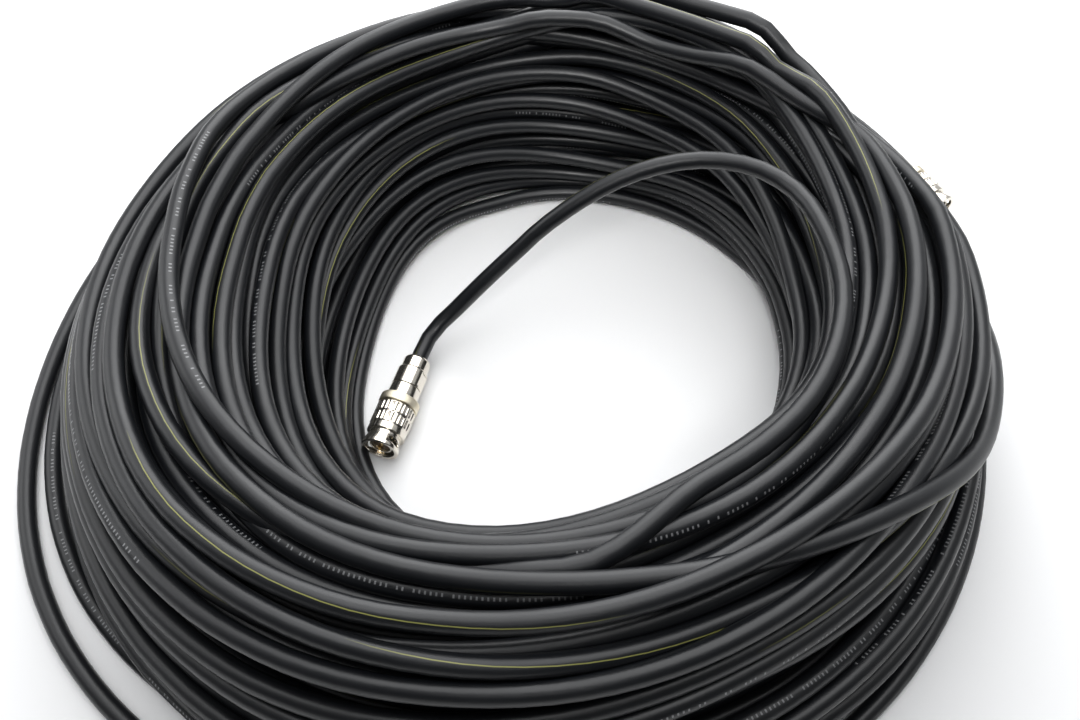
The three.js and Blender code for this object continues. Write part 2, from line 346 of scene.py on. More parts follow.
def skin_tables():
    """The skin's places, and the way inwards from them, round the whole coil."""
    knots = np.array(HEAP_OUTLINE + [(LOOSE_SHARE, LOOSE_RISE * CABLE_DIAMETER / COIL_HEIGHT),
                                     (1.0, CABLE_DIAMETER / COIL_HEIGHT)])
    chord = np.linalg.norm(np.diff(knots * (OUTER_RADIUS - BORE_RADIUS, COIL_HEIGHT), axis=0), axis=1)
    chord = np.r_[0, np.cumsum(chord)]
    fine = np.linspace(0, chord[-1], 400)
    out = blurred(np.interp(fine, chord, knots[:, 0]), 6.0)
    height = blurred(np.interp(fine, chord, knots[:, 1]), 6.0) * COIL_HEIGHT
    places = np.zeros((SKIN_ANGLES + 1, SKIN_PLACES, 2))
    inwards = np.zeros_like(places)
    lengths = np.zeros(SKIN_ANGLES + 1)
    for n in range(SKIN_ANGLES + 1):
        angle = 2 * math.pi * n / SKIN_ANGLES
        bore, outside = bore_at(angle), outside_at(angle)
        radius = bore + out * (outside - bore) + lean_at(angle) * (height / COIL_HEIGHT) * (1 - out)
        radius = radius - narrowed(angle, out)
        inner = np.clip(1 - height / 90, 0, 1) * np.clip(1 - out / 0.3, 0, 1)
        radius = radius - tabled(WALL_IN, math.degrees(angle)) * inner
        line = np.c_[radius, height]
        way = np.gradient(line, axis=0)
        way /= np.linalg.norm(way, axis=1)[:, None]
        inside = np.c_[way[:, 1], -way[:, 0]]
        line = line + inside * CABLE_DIAMETER / 2
        line[:, 1] = np.maximum(line[:, 1], CABLE_DIAMETER / 2)
        kept = line[:, 0] <= outside - CABLE_DIAMETER / 2
        line, inside = line[kept], inside[kept]
        run = np.r_[0, np.cumsum(np.linalg.norm(np.diff(line, axis=0), axis=1))]
        spots = np.linspace(0, run[-1], SKIN_PLACES)
        lengths[n] = run[-1]
        for c in (0, 1):
            places[n, :, c] = np.interp(spots, run, line[:, c])
            inwards[n, :, c] = np.interp(spots, run, inside[:, c])
    return places, inwards, lengths


def looked_up(table, angle, share):
    turn = (angle / (2 * math.pi) % 1) * SKIN_ANGLES
    i = np.minimum(np.floor(turn).astype(int), SKIN_ANGLES - 1)
    f = (turn - i)[:, None]
    spot = np.clip(share, 0, 1) * (SKIN_PLACES - 1)
    j = np.minimum(np.floor(spot).astype(int), SKIN_PLACES - 2)
    g = (spot - j)[:, None]
    here = table[i, j] * (1 - g) + table[i, j + 1] * g
    there = table[i + 1, j] * (1 - g) + table[i + 1, j + 1] * g
    return here * (1 - f) + there * f


def blurred(values, spread):
    """A line of values with its quick changes smoothed away, its ends kept."""
    reach = int(3 * spread)
    weights = np.exp(-0.5 * (np.arange(-reach, reach + 1) / spread) ** 2)
    weights /= weights.sum()
    columns = values.reshape(len(values), -1)
    out = np.empty_like(columns)
    for c in range(columns.shape[1]):
        padded = np.pad(columns[:, c], reach, mode="reflect", reflect_type="odd")
        out[:, c] = np.convolve(padded, weights, mode="valid")
    return out.reshape(values.shape)


def wander(rng, turns, per_turn, count):
    """A smooth random value along the cable, about one either way."""
    knots = rng.normal(0, 1, int(turns * per_turn) + 4)
    x = np.linspace(0, len(knots) - 1, count)
    i = np.clip(np.floor(x).astype(int), 1, len(knots) - 3)
    f = x - i
    a, b, c, d = knots[i - 1], knots[i], knots[i + 1], knots[i + 2]
    return b + 0.5 * f * (c - a + f * (2 * a - 5 * b + 4 * c - d + f * (3 * (b - c) + d - a)))


def strayed(rng, values, reach):
    """The turns' places a little out of order, so that a turn crosses its neighbours."""
    inner = np.arange(1, len(values) - 1)
    ranks = np.argsort(inner + reach * rng.normal(0, 1, len(inner)))
    return [values[0], *np.array(values)[inner[ranks]], values[-1]]


# Shares along the skin: the foot of the outer slope, and the place on top where the last layer's
# inner and outer turns meet
SLOPE_FOOT = 0.93
TOP = 0.43
# Depths of the hidden layers under the skin, in millimetres
DEEP_LAYER = 20.5
MIDDLE_LAYER = 13.2
UPPER_LAYER = 6.5
# How far out of order the turns fall, in places, and how far they wander, in millimetres
STRAYING = 1.7
UPPER_STRAYING = 1.2
STRAY_ALONG = 4.5
STRAY_DEEP = 1.4
# The share of a round that a turn takes to reach its next place, and the same for the crossing turn
CHANGE_SPAN = (0.45, 0.85)
CROSSING_BEGIN = 0.56
CROSSING_SPAN = 0.27
# How high a turn lifts over those that it crosses, in millimetres
HOP_LIFT = 4.0
CROSSING_LIFT = 7.5
START_HEADING = 83.0
END_HEADING = 284.0
PLACES_PER_TURN = 110
# How far round the last loose turn starts to climb on to the heap, in radians before its end
CLIMB = 1.2


def loose_loops(angle):
    """The first turns, which lie singly on the table round the heap's shifted centre."""
    degrees = np.degrees(angle)
    radius = tabled(FIRST_LOOP + SECOND_LOOP[1:] + THIRD_LOOP[1:], degrees)
    x = OUTER_SHIFT[0] + radius * np.cos(angle)
    y = OUTER_SHIFT[1] + radius * np.sin(angle)
    return np.c_[x, y, np.full(len(angle), CABLE_DIAMETER / 2)]


def wound(seed):
    """The cable's turns, from the outermost on the table to the last on the front rim."""
    rng = np.random.default_rng(seed)
    places, inwards, lengths = skin_tables()
    order = [(1.0, 0.0), (0.978, 0.0), (0.952, 0.0)]
    order += [(u, DEEP_LAYER) for u in np.linspace(0.86, 0.6, 6)]
    order += [(u, MIDDLE_LAYER) for u in np.linspace(0.14, 0.32, 5)]
    order += [(u, MIDDLE_LAYER) for u in np.linspace(0.58, 0.88, 10)]
    upper = strayed(rng, np.linspace(SLOPE_FOOT, 0.02, 24), UPPER_STRAYING)
    order += [(u, UPPER_LAYER) for u in upper]
    inner = strayed(rng, np.linspace(0.0, TOP, 13), STRAYING)
    outer = strayed(rng, np.linspace(SLOPE_FOOT, TOP + 0.05, 14), STRAYING)
    order += [(u, 0.0) for u in inner] + [(u, 0.0) for u in outer] + [(0.38, -2.0)]
    share, depth = np.array(order).T
    crossing = len(order) - len(outer) - 2
    turns = len(order) - 1 + (END_HEADING - START_HEADING) / 360
    count = int(turns * PLACES_PER_TURN)
    tau = np.linspace(0, turns, count)
    k = np.minimum(np.floor(tau).astype(int), len(order) - 1)
    after = np.minimum(k + 1, len(order) - 1)
    f = tau - k
    # the great crossing turn keeps to the top until the front and then drops to the right
    span = rng.uniform(*CHANGE_SPAN, len(order))
    begin = rng.random(len(order)) * (1 - span)
    begin[crossing], span[crossing] = CROSSING_BEGIN, CROSSING_SPAN
    f = np.clip((f - begin[k]) / span[k], 0, 1)
    f = f * f * (3 - 2 * f)
    u = share[k] * (1 - f) + share[after] * f
    v = depth[k] * (1 - f) + depth[after] * f
    pitch = SLOPE_FOOT / 27
    jump = np.abs(share[after] - share[k]) / pitch
    over = np.where((jump > 1.5) & (depth[k] < 1) & (depth[after] < 1) & (k > 3), HOP_LIFT, 0.0)
    over = np.where(k == crossing, CROSSING_LIFT, over)
    v = v - over * np.sin(math.pi * f) ** np.where(k == crossing, 0.5, 1.0)
    u, v = blurred(u, 14.0), blurred(v, 14.0)
    angle = math.radians(START_HEADING) + 2 * math.pi * tau
    phase = rng.random(3) * 2 * math.pi
    shared = 2.2 * np.sin(2 * angle + 9 * u + phase[0]) + 1.8 * np.sin(3 * angle - 7 * u + phase[1])
    shared += 1.0 * np.sin(5 * angle + 13 * u + phase[2])
    own = STRAY_ALONG * wander(rng, turns, 2.6, count) + 1.2 * wander(rng, turns, 6.0, count)
    loose = np.clip((1.0 - u) / 0.12, 0, 1)
    u = np.clip(u + (own * np.clip(loose, 0.3, 1) + shared * loose) / lengths.mean(), 0, 1)
    v = v + STRAY_DEEP * wander(rng, turns, 3.7, count) * np.clip(loose, 0.15, 1)
    spot = looked_up(places, angle, u) + looked_up(inwards, angle, u) * v[:, None]
    height = np.maximum(spot[:, 1], CABLE_DIAMETER / 2)
    path = np.c_[spot[:, 0] * np.cos(angle), spot[:, 0] * np.sin(angle), height]
    last = math.radians(THIRD_LOOP[-1][0])
    loops = loose_loops(np.minimum(angle, last))
    share_in = np.clip((angle - (last - CLIMB)) / CLIMB, 0, 1)[:, None]
    share_in = share_in * share_in * (3 - 2 * share_in)
    return loops * (1 - share_in) + path * share_in


def run_of(path):
    return np.r_[0, np.cumsum(np.linalg.norm(np.diff(path, axis=0), axis=1))]


def evenly(path, count):
    run = run_of(path)
    spots = np.linspace(0, run[-1], count)
    return np.c_[tuple(np.interp(spots, run, path[:, c]) for c in range(3))]


def through(points, step=1.5):
    """A smooth line through points that lie unevenly far apart."""
    points = [2 * points[0] - points[1], *points, 2 * points[-1] - points[-2]]
    line = []
    for a, b, c, d in zip(points, points[1:], points[2:], points[3:]):
        t0 = 0.0
        t1 = t0 + math.sqrt(np.linalg.norm(b - a))
        t2 = t1 + math.sqrt(np.linalg.norm(c - b))
        t3 = t2 + math.sqrt(np.linalg.norm(d - c))
        for t in np.linspace(t1, t2, max(2, int(np.linalg.norm(c - b) / step)), endpoint=False):
            ab = ((t1 - t) * a + (t - t0) * b) / (t1 - t0)
            bc = ((t2 - t) * b + (t - t1) * c) / (t2 - t1)
            cd = ((t3 - t) * c + (t - t2) * d) / (t3 - t2)
            abc = ((t2 - t) * ab + (t - t0) * bc) / (t2 - t0)
            bcd = ((t3 - t) * bc + (t - t1) * cd) / (t3 - t1)
            line.append(((t2 - t) * abc + (t - t1) * bcd) / (t2 - t1))
    line.append(points[-2])
    return np.array(line)


def joined(first, second):
    """One line from two, with a smooth bend across the gap between them."""
    gap = np.linalg.norm(second[0] - first[-1])
    leave = first[-1] - first[-2]
    leave = leave / np.linalg.norm(leave) * gap
    enter = second[1] - second[0]
    enter = enter / np.linalg.norm(enter) * gap
    t = np.linspace(0, 1, max(3, int(gap / 2)))[1:-1, None]
    bend = (2 * t**3 - 3 * t**2 + 1) * first[-1] + (t**3 - 2 * t**2 + t) * leave
    bend = bend + (3 * t**2 - 2 * t**3) * second[0] + (t**3 - t**2) * enter
    return np.vstack([first, bend, second])


def near_pairs(points, reach, skip):
    """Every two places that lie within reach of each other and aren't on the same short run."""
    cell = np.floor((points - points.min(0)) / reach).astype(np.int64) + 1
    size = cell.max(0) + 2
    key = (cell[:, 0] * size[1] + cell[:, 1]) * size[2] + cell[:, 2]
    order = np.argsort(key, kind="stable")
    ranked = key[order]
    first, second = [], []
    steps = [(x, y, z) for x in (-1, 0, 1) for y in (-1, 0, 1) for z in (-1, 0, 1)]
    for x, y, z in steps:
        want = key + (x * size[1] + y) * size[2] + z
        low = np.searchsorted(ranked, want, "left")
        found = np.searchsorted(ranked, want, "right") - low
        i = np.repeat(np.arange(len(points)), found)
        place = np.arange(found.sum()) - np.repeat(np.cumsum(found) - found, found)
        j = order[np.repeat(low, found) + place]
        kept = j - i > skip
        i, j = i[kept], j[kept]
        apart = points[i] - points[j]
        close = (apart * apart).sum(1) < reach * reach
        first.append(i[close])
        second.append(j[close])
    return np.concatenate(first), np.concatenate(second)


# The highest that a turn's centre may lie, in millimetres
HIGHEST_CENTRE = 84.0
SETTLING_ROUNDS = 60
# The share of an overlap that one round undoes, and of all moves that it keeps
PUSH = 1.3
KEPT_MOVE = 0.98
SMOOTHING = 0.45


def settled(path, free, rounds):
    """Moves the turns apart where two of them share room, as stiff cable does."""
    step = run_of(path)[-1] / (len(path) - 1)
    shift = np.zeros_like(path)
    count = len(path)
    for k in range(rounds):
        now = path + shift
        if k % 5 == 0:
            pairs = near_pairs(now, CABLE_DIAMETER * 1.75, 4)
        way = np.gradient(now, axis=0)
        way /= np.linalg.norm(way, axis=1)[:, None]
        push = np.zeros_like(now)
        hits = np.zeros(count)
        for a, b in (pairs, pairs[::-1]):
            apart = now[a] - now[b]
            beside = (apart * way[b]).sum(1)
            across = apart - beside[:, None] * way[b]
            distance = np.linalg.norm(across, axis=1)
            touching = (np.abs(beside) < step * 0.55) & (distance < CABLE_DIAMETER)
            i, j = a[touching], b[touching]
            distance = np.maximum(distance[touching], 1e-3)[:, None]
            move = across[touching] / distance * (CABLE_DIAMETER - distance) / 2
            for c in range(3):
                push[:, c] += np.bincount(i, move[:, c], count) - np.bincount(j, move[:, c], count)
            hits += np.bincount(i, None, count) + np.bincount(j, None, count)
        shift = (shift + push / np.maximum(1, hits)[:, None] * PUSH * free[:, None]) * KEPT_MOVE
        for _ in range(16 if k % 6 == 5 else 5):
            smooth = np.zeros_like(shift)
            smooth[1:-1] = (shift[:-2] + shift[2:]) / 2 - shift[1:-1]
            shift = shift + SMOOTHING * smooth * free[:, None]
        lowest = np.where(free > 0, CABLE_DIAMETER / 2, 0.0)
        highest = np.where(free > 0, HIGHEST_CENTRE, COIL_HEIGHT * 2)
        shift[:, 2] = np.clip(path[:, 2] + shift[:, 2], lowest, highest) - path[:, 2]
    return path + shift


def plug_pose(name):
    """A plug's rear end and axis in the frame, in metres, from its coupling's joint."""
    found = joint(name)
    axis = Vector(found["axis"]).normalized()
    rear = Vector(found["pos_m"]) - axis * HEAD_END * MM
    return rear, axis


def lead(plug, points):
    """The free stretch from inside a plug's clamp nut, from the axis of the bore."""
    rear, axis = plug_pose(plug)
    rear = np.array(rear) / MM - bore_axis()
    axis = np.array(axis)
    start = rear + axis * (NUT_BORE_DEPTH - CLEARANCE)
    straight = rear - axis * CABLE_DIAMETER * ROUTE_STEP * 0.7
    return through([start, rear, straight, *points])


RING_COUNT = 8280
RING_SIDES = 12
# Places cut off the wound turns, where the free stretches take over
START_CUT = 12
END_CUT = 6


def cable_path(seed):
    """The whole cable's centre line in the frame, in metres."""
    outer = lead("coupling_b_turn", [foot_point(*p) for p in FOOT_ROUTE])
    rim = [rim_point(*p) for p in RIM_ROUTE]
    inner = lead("coupling_a_turn", [bore_point(*p) for p in BORE_ROUTE] + rim)[::-1]
    turns = wound(seed)[START_CUT:-END_CUT]
    path = joined(joined(outer, turns), inner)
    path = evenly(path, RING_COUNT)
    step = run_of(path)[-1] / (RING_COUNT - 1)
    free = np.ones(RING_COUNT)
    fixed_outer = int(run_of(outer)[-1] / step)
    fixed_inner = int(run_of(inner)[-1] / step)
    free[: fixed_outer + 1] = 0
    free[-fixed_inner - 1:] = 0
    path = settled(path, free, SETTLING_ROUNDS)
    path = evenly(path, RING_COUNT)
    return (path + bore_axis()) * MM


# Meshes


def mesh_object(name, vertices, faces, uv=None):
    mesh = bpy.data.meshes.new(name)
    mesh.from_pydata([tuple(v) for v in vertices], [], [tuple(f) for f in faces])
    if uv is not None:
        layer = mesh.uv_layers.new(name="UVMap")
        layer.data.foreach_set("uv", np.asarray(uv, np.float32).ravel())
    mesh.shade_smooth()
    mesh.update()
    piece = bpy.data.objects.new(name, mesh)
    bpy.context.scene.collection.objects.link(piece)
    return piece


# The jacket's own twist goes once round in this many metres
TWIST_PITCH = 1.3
TWIST_SEED = 11


def cable_mesh(name, path, diameter):
    """A round tube along the path, with a slow twist of its own as drawn cable has."""
    count, sides = len(path), RING_SIDES
    way = np.gradient(path, axis=0)
    way /= np.linalg.norm(way, axis=1)[:, None]
    side = np.zeros_like(path)
    side[0] = np.cross(way[0], (0, 0, 1.0))
    side[0] /= np.linalg.norm(side[0])
    for i in range(1, count):
        carried = side[i - 1] - way[i] * (side[i - 1] @ way[i])
        side[i] = carried / np.linalg.norm(carried)
    up = np.cross(way, side)
    run = run_of(path)
    rng = np.random.default_rng(TWIST_SEED)
    twist = 2 * math.pi * run / TWIST_PITCH + 1.2 * wander(rng, 60, 2.0, count)
    turn = twist[:, None] + np.arange(sides) * 2 * math.pi / sides
    ring = np.cos(turn)[:, :, None] * side[:, None, :] + np.sin(turn)[:, :, None] * up[:, None, :]
    rings = path[:, None, :] + ring * diameter / 2
    vertices = np.vstack([rings.reshape(-1, 3), path[:1], path[-1:]])
    i, s = np.meshgrid(np.arange(count - 1), np.arange(sides), indexing="ij")
    i, s = i.ravel(), s.ravel()
    t = (s + 1) % sides
    walls = np.c_[i * sides + s, i * sides + t, (i + 1) * sides + t, (i + 1) * sides + s]
    first, last = count * sides, count * sides + 1
    start = [(first, (k + 1) % sides, k) for k in range(sides)]
    base = (count - 1) * sides
    end = [(last, base + k, base + (k + 1) % sides) for k in range(sides)]
    wall_uv = np.stack([
        np.c_[run[i], s / sides], np.c_[run[i], (s + 1) / sides],
        np.c_[run[i + 1], (s + 1) / sides], np.c_[run[i + 1], s / sides],
    ], axis=1).reshape(-1, 2)
    cap_uv = np.array([(run[0], 0.5)] * 3 * sides + [(run[-1], 0.5)] * 3 * sides)
    faces = [*walls.tolist(), *start, *end]
    return mesh_object(name, vertices, faces, np.vstack([wall_uv, cap_uv]))


def filleted(corners, radius, steps=3):
    """A section's corners, each rounded off by a small arc."""
    points = [np.array(c, float) for c in corners]
    out = []
    for before, corner, after in zip(points[-1:] + points[:-1], points, points[1:] + points[:1]):
        into, onward = before - corner, after - corner
        short = min(np.linalg.norm(into), np.linalg.norm(onward))
        if corner[0] < 1e-6 or short < 1e-6:
            out.append(tuple(corner))
            continue
        cut = min(radius, short * 0.45)
        a = corner + into / np.linalg.norm(into) * cut
        b = corner + onward / np.linalg.norm(onward) * cut
        for k in range(steps + 1):
            t = k / steps
            out.append(tuple((1 - t) ** 2 * a + 2 * t * (1 - t) * corner + t * t * b))
    return out


def turned(name, section, facets=96, radius_at=None):
    """A piece turned about Y from its section in millimetres, with a shape cut into its outside."""
    rows = len(section)
    vertices, faces = [], []
    index = []
    for r, y in section:
        if r < 1e-6:
            index.append([len(vertices)] * facets)
            vertices.append((0.0, y * MM, 0.0))
            continue
        row = []
        for k in range(facets):
            angle = 2 * math.pi * k / facets
            radius = r if radius_at is None else radius_at(r, y, angle)
            row.append(len(vertices))
            vertices.append((radius * math.cos(angle) * MM, y * MM, -radius * math.sin(angle) * MM))
        index.append(row)
    closed = section[0][0] >= 1e-6 or section[-1][0] >= 1e-6
    for n in range(rows if closed else rows - 1):
        low, high = index[n], index[(n + 1) % rows]
        for k in range(facets):
            m = (k + 1) % facets
            corners = [low[k], low[m], high[m], high[k]]
            distinct = list(dict.fromkeys(corners))
            if len(distinct) > 2:
                faces.append(distinct)
    return mesh_object(name, vertices, faces)


def placed(piece, pose, body, slot, material, *nodes):
    """Puts a plug's piece on its axis, with its body and material, in place of its nodes; its slot is
    not used.
    """
    rear, axis = pose
    turn = Vector((0, 1, 0)).rotation_difference(axis)
    piece.data.transform(Matrix.Translation(rear) @ turn.to_matrix().to_4x4())
    piece.data.materials.append(material)
    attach(piece, body)
    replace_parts(piece, *nodes)
    return piece


# Shader node groups


def new_group(name, inputs, outputs):
    group = bpy.data.node_groups.new(name, "ShaderNodeTree")
    for label, kind, value in inputs:
        socket = group.interface.new_socket(label, in_out="INPUT", socket_type=kind)
        if value is not None:
            socket.default_value = value
    for label, kind in outputs:
        group.interface.new_socket(label, in_out="OUTPUT", socket_type=kind)
    return group, group.nodes.new("NodeGroupInput"), group.nodes.new("NodeGroupOutput")


def math_node(nodes, operation, a=None, b=None, c=None, links=None):
    node = nodes.new("ShaderNodeMath")
    node.operation = operation
    for socket, value in zip(node.inputs, (a, b, c)):
        if value is None:
            continue
        if isinstance(value, (int, float)):
            socket.default_value = value
        else:
            links.new(value, socket)
    return node.outputs[0]


def fine_grain():
    """Bump, colour and roughness changes at two sizes, from object coordinates."""
    if "Fine grain" in bpy.data.node_groups:
        return bpy.data.node_groups["Fine grain"]
    group, start, end = new_group(
        "Fine grain",
        [("Scale", "NodeSocketFloat", 900.0), ("Patch scale", "NodeSocketFloat", 60.0),
         ("Patch amount", "NodeSocketFloat", 0.5)],
        [("Height", "NodeSocketFloat"), ("Patches", "NodeSocketFloat")],
    )
    nodes, links = group.nodes, group.links
    where = nodes.new("ShaderNodeTexCoord")
    grain = nodes.new("ShaderNodeTexNoise")
    grain.inputs["Detail"].default_value = 3.0
    links.new(where.outputs["Object"], grain.inputs["Vector"])
    links.new(start.outputs["Scale"], grain.inputs["Scale"])
    patch = nodes.new("ShaderNodeTexNoise")
    patch.inputs["Detail"].default_value = 4.0
    links.new(where.outputs["Object"], patch.inputs["Vector"])
    links.new(start.outputs["Patch scale"], patch.inputs["Scale"])
    centred = math_node(nodes, "SUBTRACT", patch.outputs[0], 0.5, links=links)
    scaled = math_node(nodes, "MULTIPLY", centred, start.outputs["Patch amount"], links=links)
    links.new(grain.outputs[0], end.inputs["Height"])
    links.new(scaled, end.inputs["Patches"])
    return group


def new_material(name):
    material = bpy.data.materials.new(name)
    material.use_nodes = True
    nodes = material.node_tree.nodes
    return material, nodes, material.node_tree.links, nodes["Principled BSDF"]


def place_group(nodes, group, **values):
    node = nodes.new("ShaderNodeGroup")
    node.node_tree = group
    for label, value in values.items():
        node.inputs[label.replace("_", " ")].default_value = value
    return node


def mixed(nodes, links, factor, first, second):
    node = nodes.new("ShaderNodeMix")
    node.data_type = "RGBA"
    links.new(factor, node.inputs["Factor"])
    for socket, value in ((node.inputs[6], first), (node.inputs[7], second)):
        if isinstance(value, (tuple, list)):
            socket.default_value = value
        else:
            links.new(value, socket)
    return node.outputs[2]


# The print comes back every so many metres and fills a share of them, and so do its ticks
PRINT_REPEAT = 0.31
PRINT_SHARE = 0.34
TICK_PITCH = 0.0014
TICK_SHARE = 0.34
TICKS_MISSING = 0.22


def length_marks():
    """Two masks along the cable: the tracer line and short printed ticks."""
    group, start, end = new_group(
        "Length marks",
        [("Tracer place", "NodeSocketFloat", 0.25), ("Tracer width", "NodeSocketFloat", 0.007),
         ("Print place", "NodeSocketFloat", 0.62), ("Print height", "NodeSocketFloat", 0.02)],
        [("Tracer", "NodeSocketFloat"), ("Print", "NodeSocketFloat")],
    )
    nodes, links = group.nodes, group.links
    where = nodes.new("ShaderNodeUVMap")
    where.uv_map = "UVMap"
    split = nodes.new("ShaderNodeSeparateXYZ")
    links.new(where.outputs[0], split.inputs[0])
    run, around = split.outputs[0], split.outputs[1]

    def band(place, width):
        off = math_node(nodes, "SUBTRACT", around, place, links=links)
        off = math_node(nodes, "ABSOLUTE", off, links=links)
        share = math_node(nodes, "DIVIDE", off, width, links=links)
        share = math_node(nodes, "SUBTRACT", 1.5, share, links=links)
        return math_node(nodes, "MULTIPLY", share, 1.6, links=links)

    def clamped(value):
        return math_node(nodes, "MINIMUM", math_node(nodes, "MAXIMUM", value, 0.0, links=links), 1.0,
                         links=links)

    patchy = nodes.new("ShaderNodeTexNoise")
    patchy.noise_dimensions = "1D"
    patchy.inputs["Scale"].default_value = 5.0
    links.new(run, patchy.inputs["W"])
    kept = math_node(nodes, "SUBTRACT", patchy.outputs[0], 0.52, links=links)
    kept = clamped(math_node(nodes, "MULTIPLY", kept, 14.0, links=links))
    line = clamped(band(start.outputs["Tracer place"], start.outputs["Tracer width"]))
    links.new(math_node(nodes, "MULTIPLY", line, kept, links=links), end.inputs["Tracer"])
    # a group of ticks every 0.31 m, each tick 1.4 mm from the next, with some left out
    repeat = math_node(nodes, "DIVIDE", run, PRINT_REPEAT, links=links)
    repeat = math_node(nodes, "FRACT", repeat, links=links)
    written = math_node(nodes, "LESS_THAN", repeat, PRINT_SHARE, links=links)
    cells = math_node(nodes, "DIVIDE", run, TICK_PITCH, links=links)
    inside = math_node(nodes, "FRACT", cells, links=links)
    ink = math_node(nodes, "LESS_THAN", inside, TICK_SHARE, links=links)
    number = math_node(nodes, "FLOOR", cells, links=links)
    chance = nodes.new("ShaderNodeTexWhiteNoise")
    chance.noise_dimensions = "1D"
    links.new(number, chance.inputs["W"])
    gap = math_node(nodes, "GREATER_THAN", chance.outputs[0], TICKS_MISSING, links=links)
    shown = math_node(nodes, "MULTIPLY", math_node(nodes, "MULTIPLY", written, ink, links=links), gap,
                      links=links)
    tall = clamped(band(start.outputs["Print place"], start.outputs["Print height"]))
    links.new(math_node(nodes, "MULTIPLY", shown, tall, links=links), end.inputs["Print"])
    return group


def jacket_material(settings):
    """Matt black vinyl with a soft sheen, a pale tracer line and printed ticks."""
    material, nodes, links, surface = new_material("jacket_black")
    grain = place_group(nodes, fine_grain(), Scale=1500.0, Patch_scale=26.0, Patch_amount=0.30)
    marks = place_group(nodes, length_marks())
    dark = (*settings.jacket, 1.0)
    worn = tuple(c * 1.9 for c in settings.jacket) + (1.0,)
    patches = math_node(nodes, "ADD", grain.outputs["Patches"], 0.4, links=links)
    base = mixed(nodes, links, patches, dark, worn)
    base = mixed(nodes, links, math_node(nodes, "MULTIPLY", marks.outputs["Print"], 0.8, links=links),
                 base, (*settings.marks, 1.0))
    base = mixed(nodes, links, math_node(nodes, "MULTIPLY", marks.outputs["Tracer"], 0.75, links=links),
                 base, (*settings.tracer, 1.0))
    links.new(base, surface.inputs["Base Color"])
    rough = math_node(nodes, "ADD", grain.outputs["Patches"], 0.39, links=links)
    links.new(rough, surface.inputs["Roughness"])
    surface.inputs["IOR"].default_value = 1.5
    bump = nodes.new("ShaderNodeBump")
    bump.inputs["Strength"].default_value = 0.12
    bump.inputs["Distance"].default_value = 0.0002
    links.new(grain.outputs["Height"], bump.inputs["Height"])
    links.new(bump.outputs[0], surface.inputs["Normal"])
    return material


def plate_material(name, colour, roughness, amount=0.16):
    """Bright plated metal with faint smudges and fine grain."""
    material, nodes, links, surface = new_material(name)
    grain = place_group(nodes, fine_grain(), Scale=5200.0, Patch_scale=420.0, Patch_amount=amount)
    warm = tuple(c * w for c, w in zip(colour, (1.0, 0.95, 0.86))) + (1.0,)
    share = math_node(nodes, "ADD", grain.outputs["Patches"], 0.3, links=links)
    links.new(mixed(nodes, links, share, (*colour, 1.0), warm), surface.inputs["Base Color"])
    surface.inputs["Metallic"].default_value = 1.0
    rough = math_node(nodes, "ADD", grain.outputs["Patches"], roughness, links=links)
    links.new(rough, surface.inputs["Roughness"])
    bump = nodes.new("ShaderNodeBump")
    bump.inputs["Strength"].default_value = 0.06
    bump.inputs["Distance"].default_value = 0.00005
    links.new(grain.outputs["Height"], bump.inputs["Height"])
    links.new(bump.outputs[0], surface.inputs["Normal"])
    return material


def insulator_material(settings):
    material, nodes, links, surface = new_material("insulator_brown")
    grain = place_group(nodes, fine_grain(), Scale=4000.0, Patch_scale=700.0, Patch_amount=0.4)
    light = tuple(c * 1.8 for c in settings.insulator) + (1.0,)
    share = math_node(nodes, "ADD", grain.outputs["Patches"], 0.5, links=links)
    links.new(mixed(nodes, links, share, (*settings.insulator, 1.0), light),
              surface.inputs["Base Color"])
    surface.inputs["Roughness"].default_value = 0.42
    return material


# Operators

# Sizes in metres, powers in watts and the spot's spread in degrees
OVERHEAD_SIZE = 1.1
BACK_PANEL_SIZE = 1.3
BACK_PANEL_POWER = 19.0
LEFT_PANEL_SIZE = 0.7
LEFT_PANEL_POWER = 3.0
BACK_FILL_SPREAD = 38.0
TABLE_REACH = 4.0


